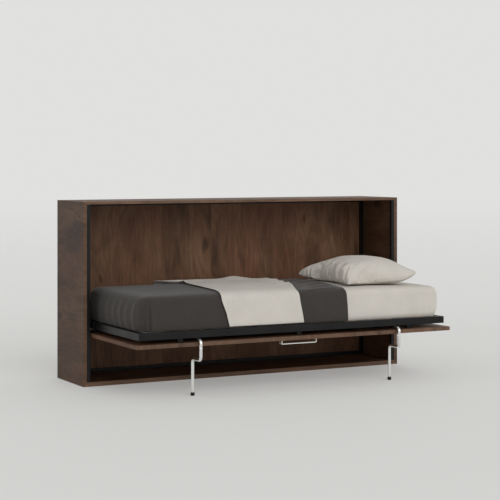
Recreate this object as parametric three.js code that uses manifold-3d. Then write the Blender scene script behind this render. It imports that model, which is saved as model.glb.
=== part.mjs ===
// Horizontal wall bed: a low wooden case with a steel inner frame, and a single
// bed that folds up into it about one long edge. Millimetres, +Z up. The origin
// is on the floor under the middle of the case, +Y points at the wall.
import * as THREE from 'three';
import { mergeVertices } from 'three/addons/utils/BufferGeometryUtils.js';
import Module from 'manifold-3d';

const wasm = await Module();
wasm.setup();

// ---- driving dimensions ----
const FIT = 0.3;
// How far two forms that become one solid run into each other, and a cutter runs past.
const OVERLAP = 1;

const CASE_WIDTH = 2115;
const CASE_DEPTH = 418;
const CASE_HEIGHT = 1050;
const SIDE_THICK = 22;
const TOP_THICK = 16;
const BOTTOM_THICK = 25;
const BACK_THICK = 16;
const BACK_RECESS = 14;
const BATTEN_HEIGHT = 80;

const POST = 20;
const PIVOT_RAIL_HEIGHT = 40;
const PLATE = 4.5;
const PLATE_HALF_HEIGHT = 30;
const PIVOT_PLATE_REACH = 50;

const PIVOT_SETBACK = 40;
const PIVOT_HEIGHT = 319;
const PIN_RADIUS = 8;
const COLLAR_RADIUS = 11;
const BUSH_RADIUS = 10;
const PIN_CLEARANCE = 0.4;

const DOOR_LENGTH = 2016;
const DOOR_THICK = 21.6;
const DOOR_FRONT_REACH = 681.5;
const DOOR_REAR_REACH = 282;

const BED_LENGTH = 1968;
const BED_FRONT_REACH = 654.5;
const BED_REAR_REACH = 199;
const BED_BOTTOM = 321;
const RAIL_HEIGHT = 40;
const RAIL_WIDTH = 25;
const LEDGE = 20;
const ARM_THICK = 6;
const ARM_HALF_DEPTH = 16;
const ARM_FRONT_EXTRA = 8;
const CENTRE_RAIL_WIDTH = 30;

const SLAT_COUNT = 8;
const SLAT_WIDTH = 80;
const SLAT_THICK = 12;
const SLAT_SPAN = 1680;

const SPACER_PITCH = 738;
const SPACER_WIDTH = 30;
const SPACER_DEPTH = 20;
const SPACER_INSET = 1;

const HANDLE_LENGTH = 226;
const HANDLE_WIDTH = 30;
const HANDLE_DROP = 25;
const HANDLE_STRAP = 5;
const HANDLE_BEND = 8;
const HANDLE_SETBACK = 28.5;

const LEG_OFFSET = 638;
const TUBE_RADIUS = 9;
const HOOK_BEND = 18;
const LEG_BEND = 22;
const LEG_FRONT_GAP = 19.5;
const LEG_JOG = 104;
const LEG_JOG_HEIGHT = 203;
const KNUCKLE_HEIGHT = 262;
const KNUCKLE_RADIUS = 8.5;
const TONGUE_THICK = 6;
const LEG_PIN_RADIUS = 2.4;
const LEG_PIN_INSET = 1;
const KNUCKLE_SHOULDER = 1;
const HOOK_TAIL = 80;
const HOOK_STEPS = 26;
const LEG_STEPS = 48;
const CAP_RADIUS = 11;
const CAP_HEIGHT = 18;
const CAP_FLOOR = 4;

const STRUT_CRANK = 60;
const STRUT_ANCHOR_SETBACK = 330;
const STRUT_ANCHOR_HEIGHT = 520;
const STRUT_OFFSET = 1000;
const CYLINDER_RADIUS = 9;
const CYLINDER_LENGTH = 230;
const ROD_RADIUS = 4;
const ROD_LENGTH = 240;
const EYE_RADIUS = 11;
const EYE_WIDTH = 10;
const EYE_OVERLAP = 3;
const EYE_GAP = 0.5;
const STUD_RADIUS = 5;
const STUD_PAST_EYE = 2;

const MATTRESS_LENGTH = 1900;
const MATTRESS_WIDTH = 790;
const MATTRESS_HEIGHT = 193;
const MATTRESS_CORNER = 40;
const MATTRESS_EDGE = 28;
const MATTRESS_HEAD_SHIFT = 7;
const MATTRESS_GAP = 6.5;
const HEM_GAP = 1;
const COVERLET_THICK = 5;
const COVERLET_HEAD_END = 332;
const THROW_THICK = 8;
const THROW_HEM_RISE = 4;
const THROW_FOOT_END = -495;
const THROW_HEAD_END = 150;
const PILLOW_LENGTH = 600;
const PILLOW_WIDTH = 500;
const PILLOW_HEIGHT = 160;
const PILLOW_CENTRE_X = 634;
const PILLOW_CENTRE_Y = -414;
const PILLOW_SQUARENESS = 0.6;

// ---- places worked out from them ----
const FRONT = -CASE_DEPTH / 2;
const WALL = CASE_DEPTH / 2;
const INNER_X = CASE_WIDTH / 2 - SIDE_THICK;
const POST_OUTER_X = INNER_X - FIT;
const POST_INNER_X = POST_OUTER_X - POST;
const BACK_FACE = WALL - BACK_RECESS - BACK_THICK;
const REAR_POST_BACK = BACK_FACE - FIT;
const REAR_POST_FRONT = REAR_POST_BACK - POST;
const CASE_FLOOR = BOTTOM_THICK + FIT;
const CASE_CEILING = CASE_HEIGHT - TOP_THICK - FIT;
const PLATE_OUTER_X = POST_INNER_X - FIT;
const PLATE_INNER_X = PLATE_OUTER_X - PLATE;

const PIVOT_Y = FRONT + PIVOT_SETBACK;
const DOOR_UNDERSIDE = PIVOT_HEIGHT - PIVOT_SETBACK;
const DOOR_TOP = DOOR_UNDERSIDE + DOOR_THICK;
const DOOR_FRONT = PIVOT_Y - DOOR_FRONT_REACH;
const BED_FRONT = PIVOT_Y - BED_FRONT_REACH;
const BED_REAR = PIVOT_Y + BED_REAR_REACH;
const BED_TOP = BED_BOTTOM + RAIL_HEIGHT;
const BED_END = BED_LENGTH / 2;
const LEDGE_TOP = BED_BOTTOM + LEDGE;
const SLAT_TOP = LEDGE_TOP + FIT + SLAT_THICK;

const MATTRESS_BOTTOM = SLAT_TOP + FIT;
const MATTRESS_TOP = MATTRESS_BOTTOM + MATTRESS_HEIGHT;
const MATTRESS_FRONT = BED_FRONT + RAIL_WIDTH + MATTRESS_GAP;
const MATTRESS_REAR = MATTRESS_FRONT + MATTRESS_WIDTH;
const MATTRESS_FOOT = MATTRESS_HEAD_SHIFT - MATTRESS_LENGTH / 2;

const LEG_FRONT_Y = DOOR_FRONT - LEG_FRONT_GAP;
const HOOK_HEIGHT = BED_BOTTOM - FIT - TUBE_RADIUS;

const STRUT_ANCHOR_Y = FRONT + STRUT_ANCHOR_SETBACK;
const STRUT_EYE_Y = PIVOT_Y + STRUT_CRANK;

// ---- finishes ----
function finish(color, roughness, metalness) {
  return { color, roughness, metalness };
}
const WALNUT = finish(0x5a463b, 0.62, 0);
const BLACK_STEEL = finish(0x1f2022, 0.5, 0.4);
const CHROME = finish(0xd8d8d6, 0.12, 1);
const NICKEL = finish(0xb9b4ad, 0.28, 1);
const BIRCH = finish(0xc9a878, 0.6, 0);
const BLACK_PLASTIC = finish(0x161616, 0.6, 0);
const BRONZE = finish(0x8c6a3a, 0.4, 0.8);
const SHEET_FABRIC = finish(0xbeb9b1, 0.95, 0);
const CHARCOAL_FABRIC = finish(0x3e3c39, 0.95, 0);
const THROW_FABRIC = finish(0xc3beb6, 0.95, 0);

// ---- helpers ----
const bed = new THREE.Group();

function addMesh(name, geometry, look, parent = bed) {
  const mesh = new THREE.Mesh(geometry, new THREE.MeshStandardMaterial(look));
  mesh.name = name;
  parent.add(mesh);
  return mesh;
}

function boxGeometry(x0, x1, y0, y1, z0, z1) {
  const geometry = new THREE.BoxGeometry(x1 - x0, y1 - y0, z1 - z0);
  return geometry.translate((x0 + x1) / 2, (y0 + y1) / 2, (z0 + z1) / 2);
}

function addBox(name, look, x0, x1, y0, y1, z0, z1) {
  return addMesh(name, boxGeometry(x0, x1, y0, y1, z0, z1), look);
}

function outline(points) {
  return new THREE.Shape(points.map(([x, y]) => new THREE.Vector2(x, y)));
}

// Extrudes a shape drawn in X and Z along +Y, from y0 to y1.
function extrudeAlongY(shape, y0, y1, curveSegments = 12) {
  const geometry = new THREE.ExtrudeGeometry(shape, {
    depth: y1 - y0,
    bevelEnabled: false,
    curveSegments,
  });
  return geometry.rotateX(Math.PI / 2).translate(0, y1, 0);
}

// Extrudes a shape drawn in Y and Z along +X, from x0 to x1.
function extrudeAlongX(shape, x0, x1, curveSegments = 12) {
  const geometry = new THREE.ExtrudeGeometry(shape, {
    depth: x1 - x0,
    bevelEnabled: false,
    curveSegments,
  });
  return geometry.rotateZ(Math.PI / 2).rotateY(Math.PI / 2).translate(x0, 0, 0);
}

function rodAlongY(radius, y0, y1, x, z, segments = 24) {
  const geometry = new THREE.CylinderGeometry(radius, radius, y1 - y0, segments);
  return geometry.translate(x, (y0 + y1) / 2, z);
}

function rodAlongX(radius, x0, x1, y, z, segments = 32) {
  const geometry = new THREE.CylinderGeometry(radius, radius, x1 - x0, segments);
  return geometry.rotateZ(Math.PI / 2).translate((x0 + x1) / 2, y, z);
}

function toSolid(geometry) {
  const bare = geometry.clone();
  bare.deleteAttribute('normal');
  bare.deleteAttribute('uv');
  const merged = mergeVertices(bare);
  return new wasm.Manifold(new wasm.Mesh({
    numProp: 3,
    vertProperties: merged.attributes.position.array,
    triVerts: new Uint32Array(merged.index.array),
  }));
}

function toGeometry(solid) {
  const mesh = solid.getMesh();
  const geometry = new THREE.BufferGeometry();
  geometry.setAttribute('position', new THREE.BufferAttribute(mesh.vertProperties, 3));
  geometry.setIndex(new THREE.BufferAttribute(mesh.triVerts, 1));
  geometry.computeVertexNormals();
  return geometry;
}

// Extrudes a round section along a path of 3-D points joined by straight lines
// and circular bends, all in one YZ plane.
function tubeGeometry(path, radius, steps) {
  const section = new THREE.Shape().absarc(0, 0, radius, 0, Math.PI * 2, false);
  return new THREE.ExtrudeGeometry(section, {
    extrudePath: path,
    steps,
    curveSegments: 8,
    bevelEnabled: false,
  });
}

const SIDES = [['left', -1], ['right', 1]];

// A quarter bend from one straight to the next, tangent to both at its ends.
function quarterBend(start, corner, end) {
  const handle = 0.5523;
  return new THREE.CubicBezierCurve3(
    start,
    start.clone().lerp(corner, handle),
    end.clone().lerp(corner, handle),
    end,
  );
}

// Joins corner points by straight lines with a quarter bend at each inner corner.
function bentPath(corners, bendRadius) {
  const path = new THREE.CurvePath();
  let start = corners[0];
  for (let i = 1; i < corners.length - 1; i += 1) {
    const corner = corners[i];
    const before = corner.clone().add(start.clone().sub(corner).setLength(bendRadius));
    const after = corner.clone().add(corners[i + 1].clone().sub(corner).setLength(bendRadius));
    path.add(new THREE.LineCurve3(start, before));
    path.add(quarterBend(before, corner, after));
    start = after;
  }
  path.add(new THREE.LineCurve3(start, corners[corners.length - 1]));
  return path;
}

// Turns a profile of [radius, distance] points about the X axis; distance is
// measured from the middle of the bed, outwards on the given side.
function latheAlongX(side, profile, y, z, segments = 32) {
  const points = profile.map(([r, a]) => new THREE.Vector2(r, a));
  const geometry = new THREE.LatheGeometry(points, segments);
  return geometry.rotateZ(-side * Math.PI / 2).translate(0, y, z);
}

function ringProfile(inner, outer, a0, a1) {
  return [[inner, a0], [outer, a0], [outer, a1], [inner, a1], [inner, a0]];
}

function roundedRectangle(width, height, radius) {
  const w = width / 2;
  const h = height / 2;
  const shape = new THREE.Shape();
  shape.absarc(w - radius, h - radius, radius, 0, Math.PI / 2, false);
  shape.absarc(-w + radius, h - radius, radius, Math.PI / 2, Math.PI, false);
  shape.absarc(-w + radius, -h + radius, radius, Math.PI, Math.PI * 1.5, false);
  shape.absarc(w - radius, -h + radius, radius, Math.PI * 1.5, Math.PI * 2, false);
  return shape;
}

// ---- case: mitred wooden panels, back panel and hanging batten ----
function addCase() {
  const half = CASE_WIDTH / 2;
  const mitre = 2 * FIT;
  for (const [word, side] of SIDES) {
    const shape = outline([
      [side * half, 0],
      [side * INNER_X, BOTTOM_THICK],
      [side * INNER_X, CASE_HEIGHT - TOP_THICK],
      [side * half, CASE_HEIGHT],
    ]);
    addMesh(`side_panel_${word}`, extrudeAlongY(shape, FRONT, WALL), WALNUT);
  }
  const top = outline([
    [-half + mitre, CASE_HEIGHT],
    [half - mitre, CASE_HEIGHT],
    [INNER_X - mitre, CASE_HEIGHT - TOP_THICK],
    [-INNER_X + mitre, CASE_HEIGHT - TOP_THICK],
  ]);
  addMesh('top_panel', extrudeAlongY(top, FRONT, WALL), WALNUT);
  const bottom = outline([
    [-half + mitre, 0],
    [half - mitre, 0],
    [INNER_X - mitre, BOTTOM_THICK],
    [-INNER_X + mitre, BOTTOM_THICK],
  ]);
  addMesh('bottom_panel', extrudeAlongY(bottom, FRONT, WALL), WALNUT);
  const reach = INNER_X - FIT;
  const backRear = BACK_FACE + BACK_THICK;
  addBox('back_panel', WALNUT, -reach, reach, BACK_FACE, backRear, CASE_FLOOR, CASE_CEILING);
  const battenBottom = CASE_CEILING - BATTEN_HEIGHT;
  addBox('wall_batten', BIRCH, -reach, reach, backRear + FIT, WALL, battenBottom, CASE_CEILING);
}

// ---- inner steel frame: four posts, rear rails and the rails under the pivots ----
function addSteelFrame() {
  for (const [word, side] of SIDES) {
    const x0 = Math.min(side * POST_INNER_X, side * POST_OUTER_X);
    const x1 = x0 + POST;
    addBox(`post_front_${word}`, BLACK_STEEL, x0, x1, FRONT, FRONT + POST, CASE_FLOOR, CASE_CEILING);
    addBox(
      `post_rear_${word}`, BLACK_STEEL,
      x0, x1, REAR_POST_FRONT, REAR_POST_BACK, CASE_FLOOR, CASE_CEILING,
    );
    addBox(
      `pivot_rail_${word}`, BLACK_STEEL,
      x0, x1, FRONT + POST + FIT, REAR_POST_FRONT - FIT,
      PIVOT_HEIGHT - PIVOT_RAIL_HEIGHT / 2, PIVOT_HEIGHT + PIVOT_RAIL_HEIGHT / 2,
    );
  }
  const reach = POST_INNER_X - FIT;
  addBox(
    'rear_rail_bottom', BLACK_STEEL,
    -reach, reach, REAR_POST_FRONT, REAR_POST_BACK, CASE_FLOOR, CASE_FLOOR + POST,
  );
  addBox(
    'rear_rail_top', BLACK_STEEL,
    -reach, reach, REAR_POST_FRONT, REAR_POST_BACK, CASE_CEILING - POST, CASE_CEILING,
  );
}

// ---- pivots: plate and stepped pin on the case, arm and bush on the bed ----
function armShape() {
  const front = PIVOT_Y - ARM_HALF_DEPTH - ARM_FRONT_EXTRA;
  const shape = outline([
    [front, PIVOT_HEIGHT - ARM_HALF_DEPTH],
    [STRUT_EYE_Y + ARM_HALF_DEPTH, PIVOT_HEIGHT - ARM_HALF_DEPTH],
    [STRUT_EYE_Y + ARM_HALF_DEPTH, BED_TOP],
    [front, BED_TOP],
  ]);
  const hole = new THREE.Path();
  hole.absarc(PIVOT_Y, PIVOT_HEIGHT, BUSH_RADIUS + FIT, 0, Math.PI * 2, true);
  shape.holes.push(hole);
  return shape;
}

function addPivot(word, side) {
  const plateX = [side * PLATE_INNER_X, side * PLATE_OUTER_X].sort((a, b) => a - b);
  addBox(
    `pivot_plate_${word}`, BLACK_STEEL,
    plateX[0], plateX[1], FRONT + POST + FIT, PIVOT_Y + PIVOT_PLATE_REACH,
    PIVOT_HEIGHT - PLATE_HALF_HEIGHT, PIVOT_HEIGHT + PLATE_HALF_HEIGHT,
  );
  const armInner = BED_END + FIT;
  const armOuter = armInner + ARM_THICK;
  const armX = [side * armInner, side * armOuter].sort((a, b) => a - b);
  const plate = toSolid(extrudeAlongX(armShape(), armX[0], armX[1], 16));
  const studEnd = STRUT_OFFSET - EYE_WIDTH / 2 - EYE_GAP;
  const studX = [side * (armOuter - OVERLAP), side * studEnd];
  studX.sort((a, b) => a - b);
  const stud = toSolid(rodAlongX(STUD_RADIUS, studX[0], studX[1], STRUT_EYE_Y, PIVOT_HEIGHT, 24));
  addMesh(`pivot_arm_${word}`, toGeometry(plate.add(stud)), BLACK_STEEL);
  const pin = [
    [0, armInner + FIT],
    [PIN_RADIUS, armInner + FIT],
    [PIN_RADIUS, armOuter + FIT],
    [COLLAR_RADIUS, armOuter + FIT],
    [COLLAR_RADIUS, PLATE_INNER_X - FIT],
    [0, PLATE_INNER_X - FIT],
  ];
  addMesh(`pivot_pin_${word}`, latheAlongX(side, pin, PIVOT_Y, PIVOT_HEIGHT), NICKEL);
  const bush = ringProfile(PIN_RADIUS + PIN_CLEARANCE, BUSH_RADIUS, armInner, armOuter);
  addMesh(`pivot_bush_${word}`, latheAlongX(side, bush, PIVOT_Y, PIVOT_HEIGHT), BRONZE);
}

// ---- gas struts that carry the bed's weight ----
function eyeSolid(side) {
  const ring = ringProfile(
    STUD_RADIUS + PIN_CLEARANCE, EYE_RADIUS,
    STRUT_OFFSET - EYE_WIDTH / 2, STRUT_OFFSET + EYE_WIDTH / 2,
  );
  return toSolid(latheAlongX(side, ring, 0, 0, 24));
}

// A lathe profile of [radius, distance] points laid out from the origin at an
// angle in the YZ plane.
function strutBody(side, profile, angle) {
  const points = profile.map(([r, a]) => new THREE.Vector2(r, a));
  const geometry = new THREE.LatheGeometry(points, 24);
  return toSolid(geometry.rotateX(angle).translate(side * STRUT_OFFSET, 0, 0));
}

function addStrut(word, side) {
  const dy = STRUT_EYE_Y - STRUT_ANCHOR_Y;
  const dz = PIVOT_HEIGHT - STRUT_ANCHOR_HEIGHT;
  const angle = Math.atan2(dz, dy);
  const bodyStart = EYE_RADIUS - EYE_OVERLAP;
  const boreStart = 2 * EYE_RADIUS;
  const cylinder = strutBody(side, [
    [0, bodyStart],
    [CYLINDER_RADIUS, bodyStart],
    [CYLINDER_RADIUS, CYLINDER_LENGTH],
    [ROD_RADIUS + 2 * FIT, CYLINDER_LENGTH],
    [ROD_RADIUS + 2 * FIT, boreStart],
    [0, boreStart],
  ], angle).add(eyeSolid(side));
  const cylinderMesh = addMesh(`strut_cylinder_${word}`, toGeometry(cylinder), BLACK_STEEL);
  cylinderMesh.position.set(0, STRUT_ANCHOR_Y, STRUT_ANCHOR_HEIGHT);
  const rod = strutBody(side, [
    [0, bodyStart],
    [ROD_RADIUS, bodyStart],
    [ROD_RADIUS, ROD_LENGTH],
    [0, ROD_LENGTH],
  ], angle + Math.PI).add(eyeSolid(side));
  const rodMesh = addMesh(`strut_rod_${word}`, toGeometry(rod), CHROME);
  rodMesh.position.set(0, STRUT_EYE_Y, PIVOT_HEIGHT);
}

function addStrutBracket(word, side) {
  const plateX = [side * PLATE_INNER_X, side * PLATE_OUTER_X].sort((a, b) => a - b);
  const plate = toSolid(boxGeometry(
    plateX[0], plateX[1], STRUT_ANCHOR_Y - ARM_HALF_DEPTH, REAR_POST_BACK,
    STRUT_ANCHOR_HEIGHT - PLATE_HALF_HEIGHT, STRUT_ANCHOR_HEIGHT + PLATE_HALF_HEIGHT,
  ));
  const studEnd = STRUT_OFFSET - EYE_WIDTH / 2 - STUD_PAST_EYE;
  const studX = [side * studEnd, side * (PLATE_INNER_X + OVERLAP)];
  studX.sort((a, b) => a - b);
  const stud = toSolid(
    rodAlongX(STUD_RADIUS, studX[0], studX[1], STRUT_ANCHOR_Y, STRUT_ANCHOR_HEIGHT, 24),
  );
  addMesh(`strut_bracket_${word}`, toGeometry(plate.add(stud)), BLACK_STEEL);
}

// ---- bed frame: long rails with a ledge, end rails, centre rail and slats ----
function addBedFrame() {
  const reach = BED_END - RAIL_WIDTH - FIT;
  const longRail = (face, inward) => outline([
    [face, BED_BOTTOM],
    [face + inward * (RAIL_WIDTH + LEDGE), BED_BOTTOM],
    [face + inward * (RAIL_WIDTH + LEDGE), LEDGE_TOP],
    [face + inward * RAIL_WIDTH, LEDGE_TOP],
    [face + inward * RAIL_WIDTH, BED_TOP],
    [face, BED_TOP],
  ]);
  addMesh('bed_rail_front', extrudeAlongX(longRail(BED_FRONT, 1), -reach, reach), BLACK_STEEL);
  addMesh('bed_rail_rear', extrudeAlongX(longRail(BED_REAR, -1), -reach, reach), BLACK_STEEL);
  const inner = BED_END - RAIL_WIDTH;
  addBox('bed_rail_foot', BLACK_STEEL, -BED_END, -inner, BED_FRONT, BED_REAR, BED_BOTTOM, BED_TOP);
  addBox('bed_rail_head', BLACK_STEEL, inner, BED_END, BED_FRONT, BED_REAR, BED_BOTTOM, BED_TOP);
  const middle = (BED_FRONT + BED_REAR) / 2;
  addBox(
    'bed_rail_centre', BLACK_STEEL,
    -reach, reach, middle - CENTRE_RAIL_WIDTH / 2, middle + CENTRE_RAIL_WIDTH / 2,
    BED_BOTTOM, LEDGE_TOP,
  );
  for (let i = 0; i < SLAT_COUNT; i += 1) {
    const x = -SLAT_SPAN / 2 + (SLAT_SPAN * i) / (SLAT_COUNT - 1);
    addBox(
      `slat_${i + 1}`, BIRCH, x - SLAT_WIDTH / 2, x + SLAT_WIDTH / 2,
      BED_FRONT + RAIL_WIDTH + FIT, BED_REAR - RAIL_WIDTH - FIT, LEDGE_TOP + FIT, SLAT_TOP,
    );
  }
}

// ---- door panel under the bed frame, its spacers and its handle ----
function handleShape() {
  const outer = HANDLE_LENGTH / 2;
  const top = DOOR_UNDERSIDE - FIT;
  const low = DOOR_UNDERSIDE - HANDLE_DROP;
  const inner = outer - HANDLE_STRAP;
  const bendX = outer - HANDLE_BEND;
  const bendZ = low + HANDLE_BEND;
  const shape = new THREE.Shape();
  shape.moveTo(-outer, top);
  shape.lineTo(-outer, bendZ);
  shape.absarc(-bendX, bendZ, HANDLE_BEND, Math.PI, Math.PI * 1.5, false);
  shape.absarc(bendX, bendZ, HANDLE_BEND, Math.PI * 1.5, Math.PI * 2, false);
  shape.lineTo(outer, top);
  shape.lineTo(inner, top);
  shape.lineTo(inner, bendZ);
  shape.absarc(bendX, bendZ, HANDLE_BEND - HANDLE_STRAP, 0, -Math.PI / 2, true);
  shape.absarc(-bendX, bendZ, HANDLE_BEND - HANDLE_STRAP, -Math.PI / 2, -Math.PI, true);
  shape.lineTo(-inner, top);
  return shape;
}

function addDoor() {
  addBox(
    'door_panel', WALNUT, -DOOR_LENGTH / 2, DOOR_LENGTH / 2,
    DOOR_FRONT, PIVOT_Y + DOOR_REAR_REACH, DOOR_UNDERSIDE, DOOR_TOP,
  );
  const addSpacer = (name, x, y) => addBox(
    name, BLACK_PLASTIC, x - SPACER_WIDTH / 2, x + SPACER_WIDTH / 2,
    y, y + SPACER_DEPTH, DOOR_TOP + FIT, BED_BOTTOM - FIT,
  );
  const rearY = BED_REAR - SPACER_DEPTH - SPACER_INSET;
  addSpacer('door_spacer_front_left', -SPACER_PITCH, BED_FRONT + SPACER_INSET);
  addSpacer('door_spacer_front_middle', 0, BED_FRONT + SPACER_INSET);
  addSpacer('door_spacer_front_right', SPACER_PITCH, BED_FRONT + SPACER_INSET);
  addSpacer('door_spacer_rear_left', -SPACER_PITCH, rearY);
  addSpacer('door_spacer_rear_right', SPACER_PITCH, rearY);
  const handleFront = DOOR_FRONT + HANDLE_SETBACK;
  const handle = extrudeAlongY(handleShape(), handleFront, handleFront + HANDLE_WIDTH, 5);
  addMesh('handle', handle, NICKEL);
}

// ---- legs: hooked upper tube, knuckle pin, jogged lower tube and foot cap ----
// One half of the knuckle: a tube-wide block whose end is rounded about the pin,
// seen along Y. It reaches upwards (+1) or downwards (-1) from the pin.
function knuckleSolid(x, direction) {
  const reach = KNUCKLE_RADIUS + KNUCKLE_SHOULDER + OVERLAP;
  const shape = new THREE.Shape();
  const start = direction > 0 ? Math.PI : 0;
  shape.absarc(x, KNUCKLE_HEIGHT, KNUCKLE_RADIUS, start, start + Math.PI, false);
  shape.lineTo(x + direction * KNUCKLE_RADIUS, KNUCKLE_HEIGHT + direction * reach);
  shape.lineTo(x - direction * KNUCKLE_RADIUS, KNUCKLE_HEIGHT + direction * reach);
  const profile = toSolid(
    extrudeAlongY(shape, LEG_FRONT_Y - TUBE_RADIUS, LEG_FRONT_Y + TUBE_RADIUS),
  );
  const round = new THREE.CylinderGeometry(TUBE_RADIUS, TUBE_RADIUS, 4 * KNUCKLE_RADIUS, 24);
  round.rotateX(Math.PI / 2).translate(x, LEG_FRONT_Y, KNUCKLE_HEIGHT);
  const pinHole = toSolid(rodAlongY(
    LEG_PIN_RADIUS + PIN_CLEARANCE, LEG_FRONT_Y - 2 * TUBE_RADIUS, LEG_FRONT_Y + 2 * TUBE_RADIUS,
    x, KNUCKLE_HEIGHT,
  ));
  return profile.intersect(toSolid(round)).subtract(pinHole);
}

// A slab across the tube at the pin, centred on it in Y.
function knuckleSlab(x, thickness, low, high) {
  return toSolid(boxGeometry(
    x - 2 * TUBE_RADIUS, x + 2 * TUBE_RADIUS,
    LEG_FRONT_Y - thickness / 2, LEG_FRONT_Y + thickness / 2,
    low, high,
  ));
}

function addLeg(word, side) {
  const x = side * LEG_OFFSET;
  const shoulder = KNUCKLE_RADIUS + KNUCKLE_SHOULDER;
  const hookPath = bentPath([
    new THREE.Vector3(x, LEG_FRONT_Y + HOOK_BEND + HOOK_TAIL, HOOK_HEIGHT),
    new THREE.Vector3(x, LEG_FRONT_Y, HOOK_HEIGHT),
    new THREE.Vector3(x, LEG_FRONT_Y, KNUCKLE_HEIGHT + shoulder),
  ], HOOK_BEND);
  const tongueLow = KNUCKLE_HEIGHT - 2 * KNUCKLE_RADIUS;
  const tongueHigh = KNUCKLE_HEIGHT + 2 * KNUCKLE_RADIUS;
  const tongue = knuckleSolid(x, 1).intersect(knuckleSlab(x, TONGUE_THICK, tongueLow, tongueHigh));
  const hook = toSolid(tubeGeometry(hookPath, TUBE_RADIUS, HOOK_STEPS)).add(tongue);
  addMesh(`leg_hook_${word}`, toGeometry(hook), CHROME);

  const pinReach = TUBE_RADIUS - LEG_PIN_INSET;
  const pin = rodAlongY(
    LEG_PIN_RADIUS, LEG_FRONT_Y - pinReach, LEG_FRONT_Y + pinReach, x, KNUCKLE_HEIGHT, 16,
  );
  addMesh(`leg_pin_${word}`, pin, NICKEL);

  const footY = LEG_FRONT_Y + LEG_JOG;
  const lowerPath = bentPath([
    new THREE.Vector3(x, LEG_FRONT_Y, KNUCKLE_HEIGHT - shoulder),
    new THREE.Vector3(x, LEG_FRONT_Y, LEG_JOG_HEIGHT),
    new THREE.Vector3(x, footY, LEG_JOG_HEIGHT),
    new THREE.Vector3(x, footY, CAP_FLOOR + FIT),
  ], LEG_BEND);
  const slot = knuckleSlab(
    x, TONGUE_THICK + 2 * FIT, KNUCKLE_HEIGHT - shoulder, KNUCKLE_HEIGHT + 2 * KNUCKLE_RADIUS,
  );
  const fork = knuckleSolid(x, -1).subtract(slot);
  const lower = toSolid(tubeGeometry(lowerPath, TUBE_RADIUS, LEG_STEPS)).add(fork);
  addMesh(`leg_lower_${word}`, toGeometry(lower), CHROME);

  const cap = new THREE.LatheGeometry([
    new THREE.Vector2(0, 0),
    new THREE.Vector2(CAP_RADIUS, 0),
    new THREE.Vector2(CAP_RADIUS, CAP_HEIGHT),
    new THREE.Vector2(TUBE_RADIUS + FIT, CAP_HEIGHT),
    new THREE.Vector2(TUBE_RADIUS + FIT, CAP_FLOOR),
    new THREE.Vector2(0, CAP_FLOOR),
  ], 24);
  cap.rotateX(Math.PI / 2);
  addMesh(`foot_cap_${word}`, cap, BLACK_PLASTIC).position.set(x, footY, 0);
}

// ---- soft parts ----
function addMattress() {
  const shape = roundedRectangle(
    MATTRESS_LENGTH - 2 * MATTRESS_EDGE, MATTRESS_WIDTH - 2 * MATTRESS_EDGE,
    MATTRESS_CORNER - MATTRESS_EDGE,
  );
  const geometry = new THREE.ExtrudeGeometry(shape, {
    depth: MATTRESS_HEIGHT - 2 * MATTRESS_EDGE,
    bevelThickness: MATTRESS_EDGE,
    bevelSize: MATTRESS_EDGE,
    bevelSegments: 3,
    curveSegments: 4,
  });
  const middle = (MATTRESS_FRONT + MATTRESS_REAR) / 2;
  geometry.translate(MATTRESS_HEAD_SHIFT, middle, MATTRESS_BOTTOM + MATTRESS_EDGE);
  addMesh('mattress', geometry, SHEET_FABRIC);
}

// A cloth shell over the mattress: top, front and rear skirts, and a foot skirt
// if the cloth runs past the mattress's foot end.
function clothShell(x0, x1, clearance, thickness, hem) {
  const outer = toSolid(boxGeometry(
    x0, x1, MATTRESS_FRONT - clearance - thickness, MATTRESS_REAR + clearance + thickness,
    hem, MATTRESS_TOP + clearance + thickness,
  ));
  const footEnd = x0 < MATTRESS_FOOT ? x0 + thickness : x0 - OVERLAP;
  const inner = toSolid(boxGeometry(
    footEnd, x1 + OVERLAP, MATTRESS_FRONT - clearance, MATTRESS_REAR + clearance,
    hem - OVERLAP, MATTRESS_TOP + clearance,
  ));
  return toGeometry(outer.subtract(inner));
}

function addCovers() {
  const coverletFoot = MATTRESS_FOOT - FIT - COVERLET_THICK;
  const hem = BED_TOP + HEM_GAP;
  const coverlet = clothShell(coverletFoot, COVERLET_HEAD_END, FIT, COVERLET_THICK, hem);
  addMesh('coverlet', coverlet, CHARCOAL_FABRIC);
  const throwClearance = 2 * FIT + COVERLET_THICK;
  const blanket = clothShell(
    THROW_FOOT_END, THROW_HEAD_END, throwClearance, THROW_THICK, hem + THROW_HEM_RISE,
  );
  addMesh('throw', blanket, THROW_FABRIC);
}

// A sphere pulled out to a rounded rectangle in plan and thinned to its rim.
function addPillow() {
  const geometry = new THREE.SphereGeometry(1, 32, 16);
  geometry.rotateX(Math.PI / 2);
  const position = geometry.attributes.position;
  const point = new THREE.Vector3();
  for (let i = 0; i < position.count; i += 1) {
    point.fromBufferAttribute(position, i);
    const rim = Math.hypot(point.x, point.y);
    const square = rim > 0 ? rim / Math.max(Math.abs(point.x), Math.abs(point.y)) : 1;
    const stretch = 1 + PILLOW_SQUARENESS * (square - 1);
    position.setXYZ(
      i,
      point.x * stretch * PILLOW_WIDTH / 2,
      point.y * stretch * PILLOW_LENGTH / 2,
      point.z * PILLOW_HEIGHT / 2,
    );
  }
  geometry.computeVertexNormals();
  const height = MATTRESS_TOP + FIT + PILLOW_HEIGHT / 2;
  addMesh('pillow', geometry, SHEET_FABRIC).position.set(PILLOW_CENTRE_X, PILLOW_CENTRE_Y, height);
}

addCase();
addSteelFrame();
addBedFrame();
addDoor();
for (const [word, side] of SIDES) {
  addPivot(word, side);
  addStrutBracket(word, side);
  addStrut(word, side);
  addLeg(word, side);
}
addMattress();
addCovers();
addPillow();

export default bed;
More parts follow.
